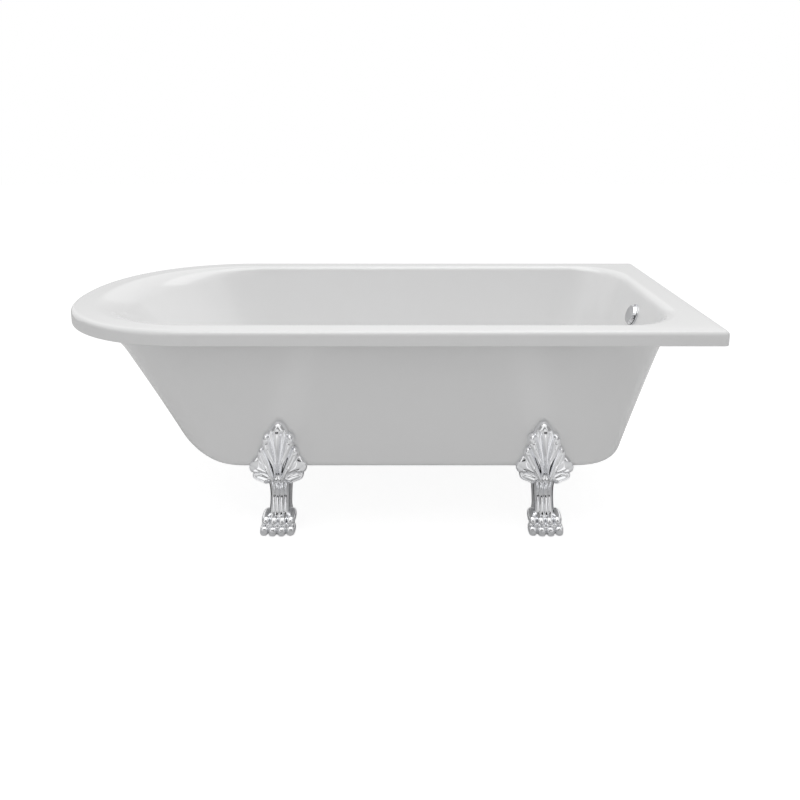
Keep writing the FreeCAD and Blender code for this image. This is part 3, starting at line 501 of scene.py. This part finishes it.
base_reach = 82.0               # height over which the rows lie closer, for the base arc
skin_down = np.concatenate([np.linspace(rim_thickness, skin_depth - base_reach, 40),
                            skin_depth - base_reach * np.linspace(1, 0, 36)[1:] ** 2])
inner_down = (skin_down - rim_thickness) * (
    (skin_depth - skin_thickness - rim_thickness) / (skin_depth - rim_thickness)) + rim_thickness
skin_out, skin_in = skin(skin_down), skin(inner_down[::3][::-1], skin_thickness)
inner_floor = skin(np.array([skin_depth - skin_thickness]), skin_thickness)
base_z = tub_height - skin_depth
skin_rows = [skin_out, to_circle(skin_out[-1], waste_x, chamber_hole, base_z, 9),
             to_circle(inner_floor[0], waste_x, chamber_hole, base_z + skin_thickness, 5)[::-1],
             inner_floor, skin_in, skin(np.array([rim_thickness]), skin_thickness)]
skin_mesh = grid_mesh("outer_skin_form", [(np.concatenate(skin_rows) / 1000.0, True, True)])
# Painted shade: the skin is the same white acrylic as the tub, made a little darker.
skin_acrylic_painted_shade = acrylic("skin_acrylic_painted_shade", (0.83, 0.83, 0.83))
outer_skin = linked("outer_skin_shell", skin_mesh, skin_acrylic_painted_shade)
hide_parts("outer_skin")

# ---------------------------------------------------------------------------
# Claw feet: four chromed castings.  A fan, one tall crown between four pairs of leaves,
# leans on the bath's side; a reeded leg runs down to a paw of four toes on the floor.
side_slope = math.radians(side_flank[1])
# Each foot: name, x, which way its leg leans, and 1 at the front or -1 at the rear.
foot_places = (("front_head", -249.5, 1, 1), ("front_tap", 436.5, -1, 1),
               ("rear_head", -249.5, 1, -1), ("rear_tap", 436.5, -1, -1))
# The leg leans sideways by this share of its height, about the place at drift_height.
foot_drift, drift_height = 0.07, 171.0
fan_root = -27.0                # the fan's root, from the skin's base
# The fan's leaves, lowest first: outline in mm from the root on the right-hand side,
# thickness of the edge, rise of the middle, and width of its rounding.
leaves = {
    "lip": (((8, 4), (24, 16), (42, 24), (56, 25), (64, 19), (66, 9), (62, 1), (54, -4),
             (44, -8), (34, -14), (27, -24), (18, -30), (6, -30)), 3.0, 9.0, 17.0),
    "wing": (((8, 0), (12, 22), (24, 48), (36, 68), (46, 77), (54, 70), (63, 59), (70, 49),
              (74, 40), (73.5, 31), (69, 22), (58, 18), (42, 19), (26, 10), (16, -4)),
             3.5, 12.0, 24.0),
    "third": (((5, -8), (9, 12), (15, 36), (23, 62), (31, 82), (38, 96), (44, 96.5), (50, 90),
               (53.5, 81), (52.5, 72), (47, 61), (42, 50), (38, 37), (31, 25), (24, 13),
               (15, -8), (8, -12)), 5.0, 15.0, 14.0),
    "second": (((2, 5), (4, 40), (8, 70), (13, 100), (18, 122), (24, 135), (31, 137), (38, 131),
                (42, 121), (42.5, 108), (39.5, 97), (33, 82), (26, 68), (18, 52), (13, 38),
                (8, 5)), 5.0, 18.0, 14.0),
    "crown": (((-4, 8), (-6, 42), (-14, 91), (-25, 134), (-20, 151), (-9, 167), (0, 171),
               (9, 167), (20, 151), (25, 141), (25.8, 132), (20, 114), (14, 91), (11, 78),
               (6, 42), (3, 14)), 6.0, 21.0, 22.0)}
# The crown's half width at heights above the root.  Its two flutes and its ridge have
# their places and half widths as shares of it; the dimple is a groove across the tip.
crown_heights, crown_halves = (8, 42, 78, 91, 114, 132, 150), (3, 6, 11, 14, 20, 25, 24)
flute_place, flute_half, flute_depth = 0.56, 0.27, 8.5
flute_top, flute_rounding, flute_foot, flute_fade = 149, 9, 18, 70
ridge_half, ridge_rise, ridge_top, ridge_fade = 0.16, 1.6, 140, 12
dimple_height, dimple_half, dimple_width, dimple_depth = 152, 5, 5.0, 2.0
# Straight grooves of two leaves: two ends, half width and depth.
leaf_grooves = {"second": (((24, 96), (12, 56), 3.4, 2.6), ((24, 117), (38, 113), 3.0, 1.5)),
                "third": (((42, 76), (27, 40), 4.0, 3.0),)}
# The wing's ribs spread from one point, and start at rib_start from it.
rib_centre, rib_start, rib_fade, rib_turns, rib_rise, rib_sink = (6, -4), 34, 30, 9.5, 1.7, 0.8
# The lip's curl: a groove along its edge, curl_place in from it.
curl_place, curl_width, curl_depth, curl_from, curl_fade = 7.0, 2.2, 2.4, 22, 20
web_height = 1.5                # the sheet between the leaves, out from the bath's side
# Below sink_top the middle of the fan sinks into the leg.
sink_top, sink_height, sink_power, sink_depth = 4, 34, 1.2, 34.0
sink_half, sink_fade, fan_back_sink = 34, 14, 20.0


def rounded(outline):
    """A closed outline with its corners cut three times, each side at 1/4 and 3/4."""
    points = np.array(outline, float)
    for _ in range(3):
        after = np.roll(points, -1, 0)
        points = np.stack([points * 0.75 + after * 0.25,
                           points * 0.25 + after * 0.75], 1).reshape(-1, 2)
    return points


def from_stretch(x, z, start, end):
    """Distance from (x, z) to the straight stretch between two points."""
    (ax, az), (bx, bz) = start, end
    share = ((x - ax) * (bx - ax) + (z - az) * (bz - az)) / ((bx - ax) ** 2 + (bz - az) ** 2)
    share = np.clip(share, 0, 1)
    return np.hypot(x - ax - share * (bx - ax), z - az - share * (bz - az))


def depth_in(outline, x, z):
    """Distance from (x, z) to the outline's nearest side: above nought inside it."""
    starts = rounded(outline)
    nearest, crossings = np.full(x.shape, 1e9), np.zeros(x.shape, int)
    for (ax, az), (bx, bz) in zip(starts, np.roll(starts, -1, 0)):
        nearest = np.minimum(nearest, from_stretch(x, z, (ax, az), (bx, bz)))
        if az != bz:
            crossings += ((az > z) != (bz > z)) & (x < ax + (z - az) * (bx - ax) / (bz - az))
    return np.where(crossings % 2, nearest, -nearest)


def fading(values, span):
    """0 below nought, 1 above the span, and straight between."""
    return np.clip(values / span, 0, 1)


def crown_relief(x, z):
    """The crown's own carving: two flutes with round tops, a ridge, a dimple at the tip."""
    share = x / np.interp(z, crown_heights, crown_halves)
    flute = np.clip(1 - ((share - flute_place) / flute_half) ** 2, 0, 1)
    flute = flute * np.sqrt(fading(flute_top - z, flute_rounding))
    flute = flute * fading(z - flute_foot, flute_fade)
    ridge = np.clip(1 - (share / ridge_half) ** 2, 0, 1) * fading(ridge_top - z, ridge_fade)
    dimple = np.exp(-((z - dimple_height) / dimple_width) ** 2)
    dimple = dimple * np.clip(1 - (x / dimple_half) ** 2, 0, 1)
    return ridge_rise * ridge - flute_depth * flute - dimple_depth * dimple


def wing_relief(x, z):
    """The wing's ribs: a row of rounded ridges that spread like a shell's."""
    across, up = x - rib_centre[0], z - rib_centre[1]
    far = fading(np.hypot(across, up) - rib_start, rib_fade)
    return far * (rib_rise * np.abs(np.sin(np.arctan2(up, across) * rib_turns)) - rib_sink)


def in_leg(x, z):
    """How much of the fan's middle has sunk into the leg, from 0 to 1."""
    low = fading(sink_top - z, sink_height) ** sink_power
    return low * fading(sink_half - np.abs(x), sink_fade)


def fan_height(x, z):
    """How far the fan stands out from the bath's side at (x, z) above its root, mm.

    Each leaf is domed: edge + rise * sqrt(1 - (1 - d)^2), where d is the distance in
    from its outline over the rounding width; the highest leaf shows.
    """
    height = np.full(x.shape, web_height)
    x = np.abs(x)
    for name, (outline, edge, rise, width) in leaves.items():
        depth = depth_in(outline, x, z)
        dome = edge + rise * np.sqrt(1 - (1 - fading(depth, width)) ** 2)
        for start, end, half, deep in leaf_grooves.get(name, ()):
            dome = dome - deep * np.clip(1 - (from_stretch(x, z, start, end) / half) ** 2, 0, 1)
        if name == "crown":
            dome = dome + crown_relief(x, z)
        elif name == "wing":
            dome = dome + wing_relief(x, z)
        elif name == "lip":
            curl = np.exp(-((depth - curl_place) / curl_width) ** 2)
            dome = dome - curl_depth * curl * fading(x - curl_from, curl_fade)
        height = np.where(depth > 0, np.maximum(height, dome), height)
    return height - sink_depth * in_leg(x, z)


def fan_edge(angle, centre):
    """Distance from the fan's middle to its furthest edge in each direction.

    The furthest of many tried distances that lies in a leaf; the nearest two always count.
    """
    distance = np.linspace(20, 150, 391)[:, None]
    x = np.abs(distance * np.sin(angle))
    z = centre + distance * np.cos(angle)
    inside = distance < distance[2]
    for outline, _, _, _ in leaves.values():
        inside = inside | (depth_in(outline, x, z) > 0)
    edge = np.where(inside, distance, 0).max(0)
    kernel = np.array([1, 2, 3, 2, 1]) / 9
    return np.convolve(np.concatenate([edge[-2:], edge, edge[:2]]), kernel, "valid")


def on_side(x, z, out):
    """Points this far out from the bath's leaning side; z is above the fan's root, mm."""
    rise = z + fan_root
    top = half_width - side_flank[0] - (skin_depth - rise - lip_drop) * math.tan(side_slope)
    y = -(top + out * math.cos(side_slope))
    return np.stack([x, y, base_z + rise - out * math.sin(side_slope)], -1)


def fan_grid():
    """The fan as one closed skin: front rows from the middle out, then back rows in.

    The back lies on the bath's side, and below its base it swells back to the leg.
    """
    angle = np.linspace(0, 2 * math.pi, 460, endpoint=False)
    centre, seat_gap, base_top, swell = 40.0, 0.4, 31.0, 26.0
    edge = fan_edge(angle, centre)
    front_rows = np.concatenate([np.linspace(0, 0.9, 84), np.linspace(0.9, 1, 16)[1:]])
    back_rows = np.linspace(1, 0, 14)
    x, z = [np.concatenate([front_rows, back_rows])[:, None] * edge * way
            for way in (np.sin(angle), np.cos(angle))]
    z = z + centre
    front_x, back_x = np.split(x, [len(front_rows)])
    front_z, back_z = np.split(z, [len(front_rows)])
    below = fading(base_top - back_z, 30.0) ** 1.5
    out = seat_gap - below * swell * np.clip(1.25 - np.abs(back_x) / 75.0, 0.12, 1)
    out = out - fan_back_sink * in_leg(back_x, back_z)
    return np.concatenate([on_side(front_x, front_z, fan_height(front_x, front_z)),
                           on_side(back_x, back_z, out)])


# The leg's width, front, back and depth of its reeds, each as heights above the floor and
# the values there.  The reeds take the share reed_share of its width.
leg_width = ((22, 46, 58, 75, 100, 130, 150, 170, 190), (70, 62, 56, 55, 55, 57, 61, 66, 66))
leg_front = ((22, 46, 62, 80, 105, 125, 143, 158, 172, 190),
             (284, 281, 275, 271.5, 272, 278, 288, 299, 306, 307))
leg_back = ((22, 75, 150, 190), (214, 222, 228, 232))
leg_reed_depth = ((46, 56, 150, 168), (0.0, 3.6, 3.6, 1.0))
reed_share, reed_power = 0.9, 0.6
leg_front_power, leg_back_power = 0.55, 0.4


def leg_grid():
    """The leg: rounded section with four reeds in front, flared at top and bottom.

    A section is a superellipse, squarer behind, whose front ripples by the reeds.
    """
    z = np.linspace(22.0, 190.0, 85)
    kernel = np.ones(9) / 9
    width, front, back = [
        np.convolve(np.pad(np.interp(z, *table), 4, "edge"), kernel, "valid")[:, None]
        for table in (leg_width, leg_front, leg_back)]
    z = z[:, None]
    angle = np.linspace(0, 2 * math.pi, 208, endpoint=False)
    across = np.cos(angle)
    reeds = np.abs(np.sin(np.clip(across / reed_share, -1, 1) * 2 * math.pi)) ** reed_power
    forward = np.where(np.sin(angle) < 0, np.abs(np.sin(angle)) ** leg_front_power, 0)
    backward = np.where(np.sin(angle) >= 0, np.sin(angle).clip(0) ** leg_back_power, 0)
    middle = (front + back) / 2
    ripple = np.interp(z, *leg_reed_depth) * (1 - reeds) * (np.abs(across) < reed_share)
    y = -(middle + (front - middle) * forward - ripple * (forward > 0)
          - (middle - back) * backward)
    x = width / 2 * across + 0 * z
    grid = np.stack([x, y + 0 * x, z + 0 * x], -1)
    caps = [np.broadcast_to(grid[k].mean(0), grid[k].shape)[None] for k in (0, -1)]
    return np.concatenate([caps[0], grid, caps[1]])


def pebble(centre, half, squareness=2.0, pitch=0.0, rows=30, columns=44):
    """A superellipsoid: a ball stretched along its axes, squarer with a higher power,
    then tipped forwards by the pitch in degrees."""
    up = np.linspace(-math.pi / 2, math.pi / 2, rows)[:, None]
    round_ = np.linspace(0, 2 * math.pi, columns, endpoint=False)[None, :]
    power = 2 / squareness

    def bent(values):
        return np.sign(values) * np.abs(values) ** power

    ball = np.stack([bent(np.cos(up)) * bent(np.cos(round_)),
                     bent(np.cos(up)) * bent(np.sin(round_)),
                     bent(np.sin(up)) + 0 * round_], -1) * np.array(half)
    tip = math.radians(pitch)
    y = ball[..., 1] * math.cos(tip) - ball[..., 2] * math.sin(tip)
    z = ball[..., 1] * math.sin(tip) + ball[..., 2] * math.cos(tip)
    return np.array(centre) + np.stack([ball[..., 0], y, z], -1)


# A toe's knuckle, two folds of skin and long tip: pitch from toe to toe, place beside,
# front, height, half sizes, squareness and tip forwards in degrees.  The outer toes
# stand back a little.
outer_toe_setback = 3.0
toe_forms = ((21.6, 0.0, -269, 42.5, (12.4, 26, 14.0), 2.2, 14),
             (21.6, -5.0, -283, 31.5, (5.6, 10, 5.0), 2.0, 20),
             (21.6, 5.0, -283, 31.0, (5.6, 10, 5.0), 2.0, 20),
             (23.2, 0.0, -281, 13.5, (11.6, 17.5, 14.5), 2.7, 0))


def paw_grids():
    """Heel, flesh between the toes, and four toes side by side."""
    grids = [pebble((0, -240, 18), (27, 30, 22), 2.4),
             pebble((0, -267, 17), (42, 22.5, 20), 2.8, 0, 44, 80)]
    for step in (-1.5, -0.5, 0.5, 1.5):
        back = outer_toe_setback * (abs(step) - 0.5)
        for pitch, beside, front, height, half, squareness, tip in toe_forms:
            grids.append(pebble((step * pitch + beside, front + back, height), half,
                                squareness, tip))
    return grids


def foot_mesh(name, forms, x, drift, side):
    """One foot from its forms; the leg drifts sideways with height, the rear is mirrored."""
    grids = []
    for grid in forms:
        grid = np.array(grid, float)
        grid[..., 0] += x + drift * foot_drift * (grid[..., 2] - drift_height)
        grid[..., 1] *= side
        grid[..., 2] = np.maximum(grid[..., 2], 0.0)
        grids.append((grid / 1000.0, False, True))
    return grid_mesh(name, grids)


def chrome(name, tint=(0.66, 0.665, 0.675), rough=0.05):
    """Polished plate: near-mirror, with soft buffing marks and a faint bloom in places."""
    finish = material(name)
    place = finish.node("TexCoord", out="Object")
    bloom = finish.node("TexNoise", None, {"Vector": place, "Scale": 14.0, "Detail": 3.0})
    buffed = finish.node("TexNoise", None, {"Vector": place, "Scale": 420.0, "Detail": 2.0})
    colour = finish.node("Mix", {"data_type": "RGBA"}, {
        "Factor": bloom, 6: (*tint, 1.0),
        7: (tint[0] * 0.93, tint[1] * 0.93, tint[2] * 0.94, 1.0)}, out=2)
    bump = finish.node("Bump", None, {"Height": buffed, "Strength": 0.03, "Distance": 0.0004})
    shader = finish.node("BsdfPrincipled", None, {
        "Base Color": colour, "Metallic": 1.0, "Roughness": rough + bloom * 0.05,
        "Normal": bump})
    finish.node("OutputMaterial", None, {"Surface": shader})
    return finish


foot_chrome = chrome("foot_chrome", (0.90, 0.905, 0.915))
foot_forms = [fan_grid(), leg_grid()] + paw_grids()
for corner, x, drift, side in foot_places:
    foot = linked("claw_foot_" + corner,
                  foot_mesh("claw_foot_" + corner, foot_forms, x, drift, side), foot_chrome)
    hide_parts("foot_" + corner)

# ---------------------------------------------------------------------------
# Overflow: a chromed plate on the tap-end wall, and in front of it the knob, a
# sloped cap with four finger notches and a dished face.  The plate's drain holes
# lie under the knob, so its own CAD shape stays.
knob_notch_count, knob_notch_radius, knob_notch_circle = 4, 5.0, 29.0
bezel_thickness, turn_gap = 4.0, 1.5
knob_base = bezel_thickness + turn_gap
# Radius and height of the knob's outside, from the hub's hollow round to the face.
knob_profile = ((7.0, 4.0), (7.0, 0.0), (7.01, 4.0), (20.0, 4.0), (20.0, 0.0), (30.4, 0.0),
                (30.5, 0.15), (26.6, 6.4), (26.1, 7.3), (25.3, 7.85), (24.4, 8.0),
                (20.0, 8.0), (18.5, 7.85), (14.0, 7.5), (8.0, 7.15), (0.0, 7.0))


def knob_grid():
    """The knob: a lathe form whose radius is held inside the notches' round edges.

    At an angle t from a notch's centre the radius stays under
    c cos t - sqrt(n^2 - c^2 sin^2 t), for notches of radius n on a circle c.
    """
    profile = np.array(knob_profile)
    steps = np.linspace(0, 1, 7)[:-1, None]
    fine = np.concatenate([a + (b - a) * steps for a, b in zip(profile[:-1], profile[1:])]
                          + [profile[-1:]])
    angle = np.linspace(0, 2 * math.pi, 256, endpoint=False)
    notch_turn = 2 * math.pi / knob_notch_count
    turned_by = (angle + notch_turn / 2) % notch_turn - notch_turn / 2
    inside = knob_notch_radius ** 2 - (knob_notch_circle * np.sin(turned_by)) ** 2
    limit = np.where(inside > 0, knob_notch_circle * np.cos(turned_by)
                     - np.sqrt(np.maximum(inside, 0)), 100.0)
    radius = np.minimum(fine[:, :1], limit) / 1000.0
    height = (fine[:, 1:] + knob_base) / 1000.0 + 0 * radius
    third = np.cross(wall_out, wall_down)
    return (overflow_place + radius[..., None] * (
        np.cos(angle)[:, None] * wall_down + np.sin(angle)[:, None] * third)
        + height[..., None] * wall_out)


knob_mesh = grid_mesh("overflow_turning_knob", [(knob_grid(), False, True)])
knob = linked("overflow_turning_knob", knob_mesh, chrome("knob_chrome"), "knob")
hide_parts("overflow_knob")

# ---------------------------------------------------------------------------
# The pieces whose CAD shape stays: each takes the finish of its real stuff.
def give(finish, *names):
    """Put one material on CAD nodes."""
    for name in names:
        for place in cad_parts[name].material_slots:
            place.material = finish.owner


def plain(name, dark, light, scale, rough, bump=0.15, detail=4.0, stretch=(1, 1, 1), **settings):
    """Two tones mixed by noise, the same noise in the roughness and a fine bump."""
    finish = material(name)
    place = finish.node("TexCoord", out="Object")
    place = finish.node("Mapping", None, {"Vector": place, "Scale": stretch})
    noise = finish.node("TexNoise", None, {"Vector": place, "Scale": scale, "Detail": detail})
    colour = finish.node("Mix", {"data_type": "RGBA"}, {
        "Factor": noise, 6: (*dark, 1.0), 7: (*light, 1.0)}, out=2)
    height = finish.node("Bump", None, {"Height": noise, "Strength": bump, "Distance": 0.001})
    shader = finish.node("BsdfPrincipled", None, {
        "Base Color": colour, "Roughness": rough + noise * 0.15, "Normal": height, **settings})
    finish.node("OutputMaterial", None, {"Surface": shader})
    return finish


give(chrome("fitting_chrome"), "waste_flange", "plug", "overflow_bezel")
give(plain("bond", (0.60, 0.58, 0.52), (0.72, 0.70, 0.64), 60.0, 0.6, 0.4), "rim_bond")
give(plain("zinc", (0.46, 0.47, 0.48), (0.62, 0.63, 0.64), 350.0, 0.28, 0.1, Metallic=1.0),
     "foot_studs", "foot_washers", "foot_nuts", "overflow_screws",
     *["levelling_screw_" + corner for corner, _, _, _ in foot_places])
give(plain("pad_nylon", (0.012, 0.012, 0.013), (0.03, 0.03, 0.032), 500.0, 0.5),
     *["levelling_pad_" + corner for corner, _, _, _ in foot_places])
give(plain("seal_rubber", (0.010, 0.010, 0.010), (0.028, 0.028, 0.027), 700.0, 0.62, 0.3),
     "waste_flange_seal", "waste_body_seal", "plug_seal", "overflow_seal")
give(plain("brass", (0.52, 0.34, 0.12), (0.66, 0.46, 0.19), 240.0, 0.2, 0.1,
           stretch=(1, 1, 14), Metallic=1.0), "plug_stem", "knob_spindle")
give(plain("grey_plastic", (0.15, 0.155, 0.16), (0.20, 0.205, 0.21), 420.0, 0.42, 0.2),
     "waste_body", "overflow_housing", "lift_arm", "cable_drum", "hose_nuts")
give(plain("hose_plastic", (0.028, 0.028, 0.030), (0.045, 0.045, 0.048), 300.0, 0.4, 0.2),
     "overflow_hose", "cable_sheath")

board = material("wood_board")
place = board.node("TexCoord", out="Object")
long_grain = board.node("Mapping", None, {"Vector": place, "Scale": (1.2, 9.0, 9.0)})
grain = board.node("TexNoise", None, {"Vector": long_grain, "Scale": 6.0, "Detail": 8.0,
                                      "Distortion": 0.6})
chips = board.node("TexVoronoi", None, {"Vector": long_grain, "Scale": 30.0})
tone = board.node("ValToRGB", {"stops": [(0.2, (0.27, 0.16, 0.075)), (0.5, (0.42, 0.27, 0.14)),
                                         (0.8, (0.52, 0.36, 0.21))]},
                  {"Fac": grain * 0.8 + chips * 0.25})
rise = board.node("Bump", None, {"Height": grain, "Strength": 0.35, "Distance": 0.0008})
board.node("OutputMaterial", None, {"Surface": board.node("BsdfPrincipled", None, {
    "Base Color": tone, "Roughness": 0.62 + grain * 0.2, "Normal": rise})})
give(board, "base_board", "bearer_head_end", "bearer_tap_end")
